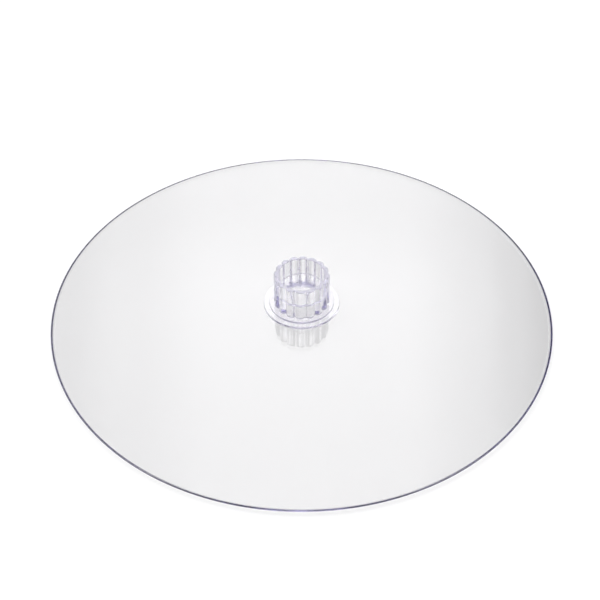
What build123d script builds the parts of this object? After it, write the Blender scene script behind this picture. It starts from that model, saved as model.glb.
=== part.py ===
"""Round clear plastic plate with a fluted centre socket, all lengths in millimetres.

The plate lies on z = 0 and its axis is +Z. A flat ring is cemented to the middle of the plate,
and the socket stands on the ring. A web halfway up the socket closes the space below it, so a
post that is pushed in from above rests on the web.
"""

from build123d import *
from math import cos, radians, sin
import os

# plate
PLATE_RADIUS = 152.4
PLATE_THICKNESS = 3.3
PLATE_TOP_EDGE_BREAK = 0.3
PLATE_UNDERSIDE_ROUND = 2.2

# ring between the plate and the socket
RING_RADIUS = 23.3
RING_THICKNESS = 1.2
RING_EDGE_BREAK = 0.25

# socket
FOOT_RADIUS = 20.0
FOOT_THICKNESS = 0.9
FOOT_EDGE_BREAK = 0.2
SOCKET_HEIGHT = 21.8
BORE_RADIUS = 14.0
BORE_LEAD_IN = 0.2
WEB_UNDERSIDE = 9.2
WEB_THICKNESS = 1.2

# flutes around the socket's wall
FLUTES = 16
CREST_RADIUS = 16.9
VALLEY_RADIUS = 15.0
VALLEY_FILLET = 0.3
FIRST_VALLEY_ANGLE = -82.0

RING_BASE = PLATE_THICKNESS
SOCKET_BASE = RING_BASE + RING_THICKNESS
PITCH_ANGLE = 360.0 / FLUTES


def at_angle(radius, angle):
    """Point on a circle about the plate's axis, angle in degrees from +X."""
    return radius * cos(radians(angle)), radius * sin(radians(angle))


def make_plate():
    """Flat disc, its rim rounded up from the underside to a narrow polished edge."""
    with BuildPart() as plate:
        with BuildSketch():
            Circle(PLATE_RADIUS)
        extrude(amount=PLATE_THICKNESS)
        rims = plate.edges().filter_by(GeomType.CIRCLE).sort_by(Axis.Z)
        fillet(rims[0], PLATE_UNDERSIDE_ROUND)
        chamfer(rims[-1], PLATE_TOP_EDGE_BREAK)
    plate.part.label = "plate"
    return plate.part


def make_base_ring():
    """Flat ring on the plate, with its upper outer edge broken."""
    with BuildPart() as base_ring:
        with BuildSketch(Plane.XY.offset(RING_BASE)):
            Circle(RING_RADIUS)
            Circle(BORE_RADIUS, mode=Mode.SUBTRACT)
        extrude(amount=RING_THICKNESS)
        upper_circles = base_ring.faces().sort_by(Axis.Z)[-1].edges().sort_by(SortBy.LENGTH)
        chamfer(upper_circles[-1], RING_EDGE_BREAK)
    base_ring.part.label = "base_ring"
    return base_ring.part


def make_fluted_socket():
    """Foot, fluted wall and web, open above the web and below it."""
    with BuildPart() as fluted_socket:
        with BuildSketch(Plane.XY.offset(SOCKET_BASE)):
            Circle(FOOT_RADIUS)
        extrude(amount=FOOT_THICKNESS)
        foot_circles = fluted_socket.faces().sort_by(Axis.Z)[-1].edges()
        chamfer(foot_circles, FOOT_EDGE_BREAK)

        with BuildSketch(Plane.XY.offset(SOCKET_BASE)) as outline:
            with BuildLine():
                for flute in range(FLUTES):
                    start = FIRST_VALLEY_ANGLE + flute * PITCH_ANGLE
                    ThreePointArc(
                        at_angle(VALLEY_RADIUS, start),
                        at_angle(CREST_RADIUS, start + PITCH_ANGLE / 2),
                        at_angle(VALLEY_RADIUS, start + PITCH_ANGLE),
                    )
            make_face()
            fillet(outline.vertices(), VALLEY_FILLET)
        extrude(amount=SOCKET_HEIGHT)

        with BuildSketch(Plane.XY.offset(SOCKET_BASE)):
            Circle(BORE_RADIUS)
        extrude(amount=WEB_UNDERSIDE, mode=Mode.SUBTRACT)

        web_top = SOCKET_BASE + WEB_UNDERSIDE + WEB_THICKNESS
        with BuildSketch(Plane.XY.offset(web_top)):
            Circle(BORE_RADIUS)
        extrude(amount=SOCKET_HEIGHT, mode=Mode.SUBTRACT)

        rim_circle = (
            fluted_socket.edges()
            .filter_by(GeomType.CIRCLE)
            .filter_by(lambda edge: abs(edge.radius - BORE_RADIUS) < 0.01)
            .sort_by(Axis.Z)[-1]
        )
        chamfer(rim_circle, BORE_LEAD_IN)
    fluted_socket.part.label = "fluted_socket"
    return fluted_socket.part


os.makedirs("parts", exist_ok=True)
export_step(make_plate(), "parts/plate.step")
export_step(make_base_ring(), "parts/base_ring.step")
export_step(make_fluted_socket(), "parts/fluted_socket.step")
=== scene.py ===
"""A clear fluted socket on a round clear plate: the looks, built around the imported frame, in metres."""

import math

import bmesh
import bpy
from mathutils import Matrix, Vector


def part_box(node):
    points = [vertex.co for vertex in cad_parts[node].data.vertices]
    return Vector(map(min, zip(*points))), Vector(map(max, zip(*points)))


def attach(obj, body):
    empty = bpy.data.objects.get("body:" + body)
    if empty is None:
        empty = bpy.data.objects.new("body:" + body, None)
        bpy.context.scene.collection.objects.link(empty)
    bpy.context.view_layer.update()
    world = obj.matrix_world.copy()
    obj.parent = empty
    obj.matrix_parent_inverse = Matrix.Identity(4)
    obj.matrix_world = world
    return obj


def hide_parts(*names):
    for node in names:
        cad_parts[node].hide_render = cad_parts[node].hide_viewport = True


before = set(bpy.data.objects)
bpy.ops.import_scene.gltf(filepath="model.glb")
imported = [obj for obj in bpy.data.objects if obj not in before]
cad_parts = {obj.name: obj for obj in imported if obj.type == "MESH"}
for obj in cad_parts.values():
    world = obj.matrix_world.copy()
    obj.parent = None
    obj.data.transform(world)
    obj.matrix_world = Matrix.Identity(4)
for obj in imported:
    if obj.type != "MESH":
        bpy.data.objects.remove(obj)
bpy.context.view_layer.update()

MM = 0.001

# What the frame gives
PLATE_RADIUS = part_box("plate")[1].x
PLATE_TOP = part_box("plate")[1].z
RING_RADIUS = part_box("base_ring")[1].x
RING_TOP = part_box("base_ring")[1].z
FOOT_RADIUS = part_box("fluted_socket")[1].x
RIM_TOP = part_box("fluted_socket")[1].z

# Two clear faces in one place can't be told apart, so pieces that touch stay this far apart
AIR_FILM = 0.03 * MM
UNDER_FLOOR = 0.1 * MM

# Rows that keep smooth shading true: how close to a corner, and on stretches longer than what
SUPPORT = 0.04 * MM
LONG_STRETCH = 0.8 * MM

# A face counts as flat when its normal is this close to upright
FLAT = 0.9999

# Plate edge
TOP_EDGE = 0.3 * MM
UNDERSIDE_ROUND = 2.2 * MM
PLATE_SEGMENTS = 512
ROUND_STEPS = 7

# Ring edge
RING_EDGE = 0.25 * MM
RING_SEGMENTS = 256

# Socket, flutes outside
FLUTES = 16
FLUTE_SEGMENTS = 16
CREST_RADIUS = 16.9 * MM
VALLEY_RADIUS = 15.0 * MM
FIRST_VALLEY = math.radians(8.0)
RIM_EDGE = 0.2 * MM

# Socket, bore and web inside
BORE_RADIUS = 14.0 * MM
BORE_LEAD_IN = 0.2 * MM
WEB_FILLET = 0.2 * MM
FILLET_MIDDLE = 0.3
WEB_UNDERSIDE = RING_TOP + 9.2 * MM
WEB_TOP = RING_TOP + 10.4 * MM

# Socket, foot below
FOOT_THICKNESS = 0.9 * MM
FOOT_EDGE = 0.2 * MM
WALL_FLARE = 0.4 * MM

# Plastic: how much light a surface lets through, and the tint and strength of its depth. The plate's surface
# colour is mostly painted shade: it darkens the floor seen through the plate.
PLASTIC_IOR = 1.5
JOINT_SURFACE = (0.97, 0.965, 0.975)
HUB_SURFACE = (0.99, 0.99, 0.99)
HUB_TINT = (0.55, 0.53, 0.72)
HUB_DENSITY = 28.0
PLATE_SURFACE_SHADE = (0.735, 0.733, 0.732)
PLATE_TINT = (0.56, 0.54, 0.70)
PLATE_DENSITY = 18.0

# Finish: the size of each pattern's features, its depth or strength, and its fineness
HUB_RIPPLE_SIZE = 2.5 * MM
HUB_RIPPLE_DEPTH = 0.03 * MM
PLATE_RIPPLE_SIZE = 35.0 * MM
PLATE_RIPPLE_DEPTH = 0.05 * MM
RIPPLE_DETAIL = 1.0
WEB_TEXTURE_SIZE = 1.5 * MM
WEB_TEXTURE_DEPTH = 0.22 * MM
WEB_TEXTURE_DETAIL = 2.0
HUB_HAZE_SIZE = 6.0 * MM
HUB_HAZE = 0.06
PLATE_HAZE_SIZE = 60.0 * MM
PLATE_HAZE = 0.05
HAZE_DETAIL = 4.0
HAZE_STARTS = 0.45
HAZE_FULL = 0.7

# Floor
FLOOR_SIZE = 30.0
FLOOR_BRIGHTNESS = 0.28
FLOOR_GLOW = 0.73
FLOOR_ROUGHNESS = 0.9
FLOOR_SPECULAR = 0.1

# Light: brightness along an axis of the direction, from -1 to 1, in (position, brightness) stops
LIGHT_STRENGTH = 1.2
LOBE_STRENGTH = 2.3
LOBE_ACROSS = [
    (-0.6, 1.3), (-0.34, 0.5), (-0.24, 0.3), (-0.18, 0.62), (-0.08, 0.97), (0.0, 1.0),
    (0.1, 0.97), (0.18, 0.58), (0.214, 0.32), (0.245, 0.0), (0.3, 0.1), (0.5, 0.8),
]
LOBE_UP = [(0.25, 0.0), (0.5, 0.4), (0.6, 0.68), (0.69, 1.0), (0.82, 0.9), (0.97, 0.3)]
LOBE_BACK = [(-0.25, 0.0), (0.15, 1.0)]
ROOM_BACK = [(-1.0, 0.75), (-0.3, 0.55), (0.1, 0.6), (0.8, 0.8)]
ROOM_ACROSS = [(-1.0, 0.8), (0.0, 1.0), (0.4, 0.8), (1.0, 0.6)]
GAP_ACROSS = [(0.0, 1.0), (0.15, 0.9), (0.24, 0.12), (0.28, 0.12), (0.4, 1.0)]
GAP_BACK = [(-0.2, 1.0), (0.2, 0.0)]
INSIDE_BOUNCES = 256
TRANSPARENT_BOUNCES = 16

# Camera: the photograph's view of the plate's rim
CAMERA_ELEVATION = math.radians(43.59)
CAMERA_DISTANCE = 3.949 * PLATE_RADIUS
CAMERA_SHIFT = (-0.0028, 0.0102)
SENSOR = 36.0
LENS = 58.254
CLIP_START = 0.01


def circle(radius):
    """An outline of one radius all the way round."""
    return lambda angle: radius


def flute(angle):
    """Radius of the fluted wall: one arc per flute, bulging out between two valleys."""
    pitch = 2 * math.pi / FLUTES
    from_crest = ((angle - FIRST_VALLEY) % pitch) - pitch / 2
    half_width = VALLEY_RADIUS * math.sin(pitch / 2)
    rise = CREST_RADIUS - VALLEY_RADIUS * math.cos(pitch / 2)
    arc = (half_width ** 2 + rise ** 2) / (2 * rise)
    centre = CREST_RADIUS - arc
    return centre * math.cos(from_crest) + math.sqrt(arc ** 2 - (centre * math.sin(from_crest)) ** 2)


def fluted(offset=0.0):
    """The fluted wall's outline, moved outwards by offset."""
    return lambda angle: flute(angle) + offset


def between(start, end, share):
    """The outline that lies a share of the way from one outline to another."""
    return lambda angle: start(angle) + (end(angle) - start(angle)) * share


def rounded_edge(radius, centre_r, centre_z, start, end):
    """Outlines up a rounded edge, from angle start to end in degrees."""
    steps = [math.radians(start + (end - start) * i / ROUND_STEPS) for i in range(ROUND_STEPS + 1)]
    return [(circle(centre_r + radius * math.cos(a)), centre_z + radius * math.sin(a)) for a in steps]


def with_supports(profile):
    """Adds a row close to each end of every long stretch, so smooth shading bends only at the corners."""
    closed_on_axis = profile[0][0] is None
    following = profile[1:] if closed_on_axis else profile[1:] + profile[:1]
    supported = []
    for (outline, z), (next_outline, next_z) in zip(profile, following):
        supported.append((outline, z))
        start = outline or circle(0.0)
        end = next_outline or circle(0.0)
        length = math.hypot(end(0.0) - start(0.0), next_z - z)
        if length > LONG_STRETCH:
            shares = [SUPPORT / length] if outline else []
            shares += [1 - SUPPORT / length] if next_outline else []
            supported += [(between(start, end, share), z + (next_z - z) * share) for share in shares]
    return supported + [profile[-1]] if closed_on_axis else supported


def add_row(mesh, outline, z, segments):
    """The points of one outline at height z, or a single point on the axis where the outline is None."""
    if outline is None:
        return [mesh.verts.new((0.0, 0.0, z))]
    angles = [2 * math.pi * i / segments for i in range(segments)]
    return [mesh.verts.new((outline(a) * math.sin(a), -outline(a) * math.cos(a), z)) for a in angles]


def add_band(mesh, low, high, segments):
    """The faces between two rows, triangles where one of them is a point on the axis."""
    for i in range(segments):
        j = (i + 1) % segments
        corners = [low[i % len(low)], low[j % len(low)], high[j % len(high)], high[i % len(high)]]
        mesh.faces.new(list(dict.fromkeys(corners)))


def turned(name, profile, segments):
    """A closed solid. Its profile lists (outline, height), and runs from axis to axis or joins up."""
    mesh = bmesh.new()
    rows = [add_row(mesh, outline, z, segments) for outline, z in with_supports(profile)]
    closed_on_axis = len(rows[0]) == 1
    for low, high in zip(rows, rows[1:] if closed_on_axis else rows[1:] + rows[:1]):
        add_band(mesh, low, high, segments)
    bmesh.ops.recalc_face_normals(mesh, faces=mesh.faces)
    data = bpy.data.meshes.new(name)
    mesh.to_mesh(data)
    mesh.free()
    data.shade_smooth()
    piece = bpy.data.objects.new(name, data)
    bpy.context.scene.collection.objects.link(piece)
    return piece


def mark_bonded(piece, contacts):
    """Marks the flat faces that are cemented to another piece, by each contact's height and outer radius."""
    bonded = piece.data.attributes.new("bonded", "FLOAT", "FACE")
    for face, mark in zip(piece.data.polygons, bonded.data):
        r = math.hypot(face.center.x, face.center.y)
        near = [outer for height, outer in contacts if abs(face.center.z - height) < AIR_FILM / 2]
        if near and BORE_RADIUS < r < near[0] and abs(face.normal.z) > FLAT:
            mark.value = 1.0


def mark_web(piece):
    """Marks the web's top face, which has a finer texture than the rest."""
    web = piece.data.attributes.new("web", "FLOAT", "FACE")
    for face, mark in zip(piece.data.polygons, web.data):
        mark.value = float(abs(face.center.z - WEB_TOP) < AIR_FILM)


def stand_for(piece, node, material):
    """The piece takes the place of a CAD node, on the one body."""
    piece.data.materials.append(material)
    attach(piece, "root")
    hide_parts(node)


def make_plate(material):
    """The round plate: flat faces, a small break at the top edge and a full round underneath."""
    profile = [(None, 0.0)]
    profile += rounded_edge(UNDERSIDE_ROUND, PLATE_RADIUS - UNDERSIDE_ROUND, UNDERSIDE_ROUND, -90, 0)
    profile += rounded_edge(TOP_EDGE, PLATE_RADIUS - TOP_EDGE, PLATE_TOP - TOP_EDGE, 0, 90)
    profile += [(circle(RING_RADIUS), PLATE_TOP), (circle(BORE_RADIUS), PLATE_TOP), (None, PLATE_TOP)]
    piece = turned("round_plate", profile, PLATE_SEGMENTS)
    mark_bonded(piece, [(PLATE_TOP, RING_RADIUS)])
    stand_for(piece, "plate", material)


def make_ring(material):
    """The flat ring between the plate and the socket's foot."""
    bottom = PLATE_TOP + AIR_FILM
    top = RING_TOP - AIR_FILM
    profile = [
        (circle(BORE_RADIUS), bottom),
        (circle(BORE_RADIUS), top),
        (circle(FOOT_RADIUS), top),
        (circle(RING_RADIUS - RING_EDGE), top),
        (circle(RING_RADIUS), top - RING_EDGE),
        (circle(RING_RADIUS), bottom),
    ]
    piece = turned("seating_ring", profile, RING_SEGMENTS)
    mark_bonded(piece, [(bottom, RING_RADIUS), (top, FOOT_RADIUS)])
    stand_for(piece, "base_ring", material)


def make_socket(material):
    """The fluted socket: web, bore, rim, fluted wall, foot, and the space below the web."""
    foot_top = RING_TOP + FOOT_THICKNESS
    profile = [
        (None, WEB_TOP),
        (circle(BORE_RADIUS - WEB_FILLET), WEB_TOP),
        (circle(BORE_RADIUS - FILLET_MIDDLE * WEB_FILLET), WEB_TOP + FILLET_MIDDLE * WEB_FILLET),
        (circle(BORE_RADIUS), WEB_TOP + WEB_FILLET),
        (circle(BORE_RADIUS), RIM_TOP - BORE_LEAD_IN),
        (circle(BORE_RADIUS + BORE_LEAD_IN), RIM_TOP),
        (fluted(-RIM_EDGE), RIM_TOP),
        (fluted(), RIM_TOP - RIM_EDGE),
        (fluted(), foot_top + WALL_FLARE),
        (fluted(WALL_FLARE), foot_top),
        (circle(FOOT_RADIUS - FOOT_EDGE), foot_top),
        (circle(FOOT_RADIUS), foot_top - FOOT_EDGE),
        (circle(FOOT_RADIUS), RING_TOP),
        (circle(BORE_RADIUS + FOOT_EDGE), RING_TOP),
        (circle(BORE_RADIUS), RING_TOP + FOOT_EDGE),
        (circle(BORE_RADIUS), WEB_UNDERSIDE - WEB_FILLET),
        (circle(BORE_RADIUS - WEB_FILLET), WEB_UNDERSIDE),
        (None, WEB_UNDERSIDE),
    ]
    piece = turned("fluted_cup", profile, FLUTES * FLUTE_SEGMENTS)
    mark_bonded(piece, [(RING_TOP, FOOT_RADIUS)])
    mark_web(piece)
    stand_for(piece, "fluted_socket", material)


def clear_plastic(name, surface, tint, density):
    """Clear plastic: the surface lets light through, dimmed by a surface colour that can carry painted
    shade, and the depth of it is tinted.
    """
    material = bpy.data.materials.new(name)
    material.use_nodes = True
    nodes = material.node_tree.nodes
    shader = nodes["Principled BSDF"]
    shader.inputs["Transmission Weight"].default_value = 1.0
    shader.inputs["Roughness"].default_value = 0.0
    shader.inputs["IOR"].default_value = PLASTIC_IOR
    depth = nodes.new("ShaderNodeVolumeAbsorption")
    depth.inputs["Color"].default_value = (*tint, 1.0)
    depth.inputs["Density"].default_value = density
    material.node_tree.links.new(depth.outputs["Volume"], nodes["Material Output"].inputs["Volume"])
    fade_joints(material, surface)
    return material


def face_mark(material, name):
    """The value that a face attribute has, 0 where the piece has no such attribute."""
    attribute = material.node_tree.nodes.new("ShaderNodeAttribute")
    attribute.attribute_name = name
    return attribute.outputs["Fac"]


def fade_joints(material, surface):
    """Lets light pass straight through the faces that are cemented, as it does through a good joint."""
    nodes = material.node_tree.nodes
    links = material.node_tree.links
    shader = nodes["Principled BSDF"]
    bonded = face_mark(material, "bonded")
    bending = nodes.new("ShaderNodeMapRange")
    bending.inputs["To Min"].default_value = PLASTIC_IOR
    bending.inputs["To Max"].default_value = 1.0
    links.new(bonded, bending.inputs["Value"])
    links.new(bending.outputs["Result"], shader.inputs["IOR"])
    # Base colour: the surface colour, which on the plate is painted shade, and on cemented faces the nearly
    # clear joint colour instead.
    surface_shade_mix = nodes.new("ShaderNodeMix")
    surface_shade_mix.data_type = "RGBA"
    surface_shade_mix.inputs["A"].default_value = (*surface, 1.0)
    surface_shade_mix.inputs["B"].default_value = (*JOINT_SURFACE, 1.0)
    links.new(bonded, surface_shade_mix.inputs["Factor"])
    links.new(surface_shade_mix.outputs["Result"], shader.inputs["Base Color"])


def pattern(material, size, detail):
    """Smooth noise over the piece itself, with features about size across."""
    nodes = material.node_tree.nodes
    place = nodes.new("ShaderNodeTexCoord")
    noise = nodes.new("ShaderNodeTexNoise")
    noise.inputs["Scale"].default_value = 1 / size
    noise.inputs["Detail"].default_value = detail
    material.node_tree.links.new(place.outputs["Object"], noise.inputs["Vector"])
    return noise.outputs["Fac"]


def add_ripple(material, size, depth):
    """The slow ripple of a moulded or cast surface, as bump."""
    bump = material.node_tree.nodes.new("ShaderNodeBump")
    bump.inputs["Distance"].default_value = depth
    links = material.node_tree.links
    links.new(pattern(material, size, RIPPLE_DETAIL), bump.inputs["Height"])
    links.new(bump.outputs["Normal"], material.node_tree.nodes["Principled BSDF"].inputs["Normal"])


def add_web_texture(material, size, depth):
    """A finer texture on the marked web, on top of the ripple that is there already."""
    links = material.node_tree.links
    normal = material.node_tree.nodes["Principled BSDF"].inputs["Normal"]
    bump = material.node_tree.nodes.new("ShaderNodeBump")
    bump.inputs["Distance"].default_value = depth
    links.new(face_mark(material, "web"), bump.inputs["Strength"])
    links.new(pattern(material, size, WEB_TEXTURE_DETAIL), bump.inputs["Height"])
    links.new(normal.links[0].from_socket, bump.inputs["Normal"])
    links.new(bump.outputs["Normal"], normal)


def add_haze(material, size, most):
    """Patches where the polish is a little duller, from handling."""
    haze = material.node_tree.nodes.new("ShaderNodeMapRange")
    haze.inputs["From Min"].default_value = HAZE_STARTS
    haze.inputs["From Max"].default_value = HAZE_FULL
    haze.inputs["To Max"].default_value = most
    links = material.node_tree.links
    links.new(pattern(material, size, HAZE_DETAIL), haze.inputs["Value"])
    links.new(haze.outputs["Result"], material.node_tree.nodes["Principled BSDF"].inputs["Roughness"])


def clear_moulding():
    """The plastic of the ring and the socket."""
    material = clear_plastic("clear_moulding", HUB_SURFACE, HUB_TINT, HUB_DENSITY)
    add_ripple(material, HUB_RIPPLE_SIZE, HUB_RIPPLE_DEPTH)
    add_web_texture(material, WEB_TEXTURE_SIZE, WEB_TEXTURE_DEPTH)
    add_haze(material, HUB_HAZE_SIZE, HUB_HAZE)
    return material


def clear_sheet():
    """The plastic of the plate, whose surface colour is painted shade that darkens the floor seen through
    it.
    """
    material = clear_plastic("clear_sheet", PLATE_SURFACE_SHADE, PLATE_TINT, PLATE_DENSITY)
    add_ripple(material, PLATE_RIPPLE_SIZE, PLATE_RIPPLE_DEPTH)
    add_haze(material, PLATE_HAZE_SIZE, PLATE_HAZE)
    return material


def make_floor():
    """A plain pale floor, just under the plate. Its glow keeps the contact shadow faint."""
    bpy.ops.mesh.primitive_plane_add(size=FLOOR_SIZE, location=(0.0, 0.0, -UNDER_FLOOR))
    floor = bpy.context.object
    floor.name = "floor"
    material = bpy.data.materials.new("pale_floor")
    material.use_nodes = True
    shader = material.node_tree.nodes["Principled BSDF"]
    shader.inputs["Base Color"].default_value = (FLOOR_BRIGHTNESS, FLOOR_BRIGHTNESS, FLOOR_BRIGHTNESS, 1.0)
    shader.inputs["Roughness"].default_value = FLOOR_ROUGHNESS
    shader.inputs["Specular IOR Level"].default_value = FLOOR_SPECULAR
    shader.inputs["Emission Color"].default_value = (1.0, 1.0, 1.0, 1.0)
    shader.inputs["Emission Strength"].default_value = FLOOR_GLOW
    floor.data.materials.append(material)


def make_camera():
    """The photograph's viewpoint."""
    data = bpy.data.cameras.new("camera")
    data.sensor_width = SENSOR
    data.lens = LENS
    data.shift_x, data.shift_y = CAMERA_SHIFT
    data.clip_start = CLIP_START
    camera = bpy.data.objects.new("camera", data)
    bpy.context.scene.collection.objects.link(camera)
    towards = Vector((0.0, math.cos(CAMERA_ELEVATION), -math.sin(CAMERA_ELEVATION)))
    camera.location = -CAMERA_DISTANCE * towards
    camera.rotation_mode = "QUATERNION"
    camera.rotation_quaternion = towards.to_track_quat("-Z", "Y")
    bpy.context.scene.camera = camera


def fade(tree, along, stops):
    """Brightness along one axis of the direction, from stops of (position, brightness)."""
    spread = tree.nodes.new("ShaderNodeMapRange")
    spread.inputs["From Min"].default_value = -1.0
    tree.links.new(along, spread.inputs["Value"])
    ramp = tree.nodes.new("ShaderNodeValToRGB")
    tree.links.new(spread.outputs["Result"], ramp.inputs["Fac"])
    ramp.color_ramp.interpolation = "EASE"
    elements = ramp.color_ramp.elements
    while len(elements) < len(stops):
        elements.new(1.0)
    for element, (position, value) in zip(elements, stops):
        element.position = (position + 1) / 2
        element.color = (value, value, value, 1.0)
    return ramp.outputs["Color"]


def combine(tree, operation, first, second):
    """A math operation on two values."""
    node = tree.nodes.new("ShaderNodeMath")
    node.operation = operation
    tree.links.new(first, node.inputs[0])
    tree.links.new(second, node.inputs[1])
    return node.outputs[0]


def scaled(tree, value, factor):
    """A value times a plain number."""
    node = tree.nodes.new("ShaderNodeMath")
    node.operation = "MULTIPLY"
    tree.links.new(value, node.inputs[0])
    node.inputs[1].default_value = factor
    return node.outputs[0]


def make_studio():
    """Soft light from all round, with a bright lobe high behind the plate and a darker gap beside it."""
    world = bpy.data.worlds.new("studio")
    bpy.context.scene.world = world
    world.use_nodes = True
    tree = world.node_tree
    direction = tree.nodes.new("ShaderNodeSeparateXYZ")
    tree.links.new(tree.nodes.new("ShaderNodeTexCoord").outputs["Generated"], direction.inputs[0])
    x, y, z = direction.outputs
    lobe = combine(tree, "MULTIPLY", fade(tree, x, LOBE_ACROSS), fade(tree, z, LOBE_UP))
    lobe = combine(tree, "MULTIPLY", lobe, fade(tree, y, LOBE_BACK))
    lobe = scaled(tree, lobe, LOBE_STRENGTH)
    gap = combine(tree, "MAXIMUM", fade(tree, x, GAP_ACROSS), fade(tree, y, GAP_BACK))
    room = combine(tree, "MULTIPLY", fade(tree, y, ROOM_BACK), fade(tree, x, ROOM_ACROSS))
    room = combine(tree, "MULTIPLY", room, gap)
    background = tree.nodes["Background"]
    tree.links.new(combine(tree, "ADD", room, lobe), background.inputs["Color"])
    background.inputs["Strength"].default_value = LIGHT_STRENGTH


def set_light_paths():
    """Clear plastic carries light a long way inside, so paths are long and glass stays sharp."""
    scene = bpy.context.scene
    scene.view_settings.view_transform = "Standard"
    scene.cycles.max_bounces = INSIDE_BOUNCES
    scene.cycles.transmission_bounces = INSIDE_BOUNCES
    scene.cycles.glossy_bounces = INSIDE_BOUNCES
    scene.cycles.transparent_max_bounces = TRANSPARENT_BOUNCES
    scene.cycles.blur_glossy = 0.0


moulding = clear_moulding()
make_plate(clear_sheet())
make_ring(moulding)
make_socket(moulding)
make_floor()
make_camera()
make_studio()
set_light_paths()
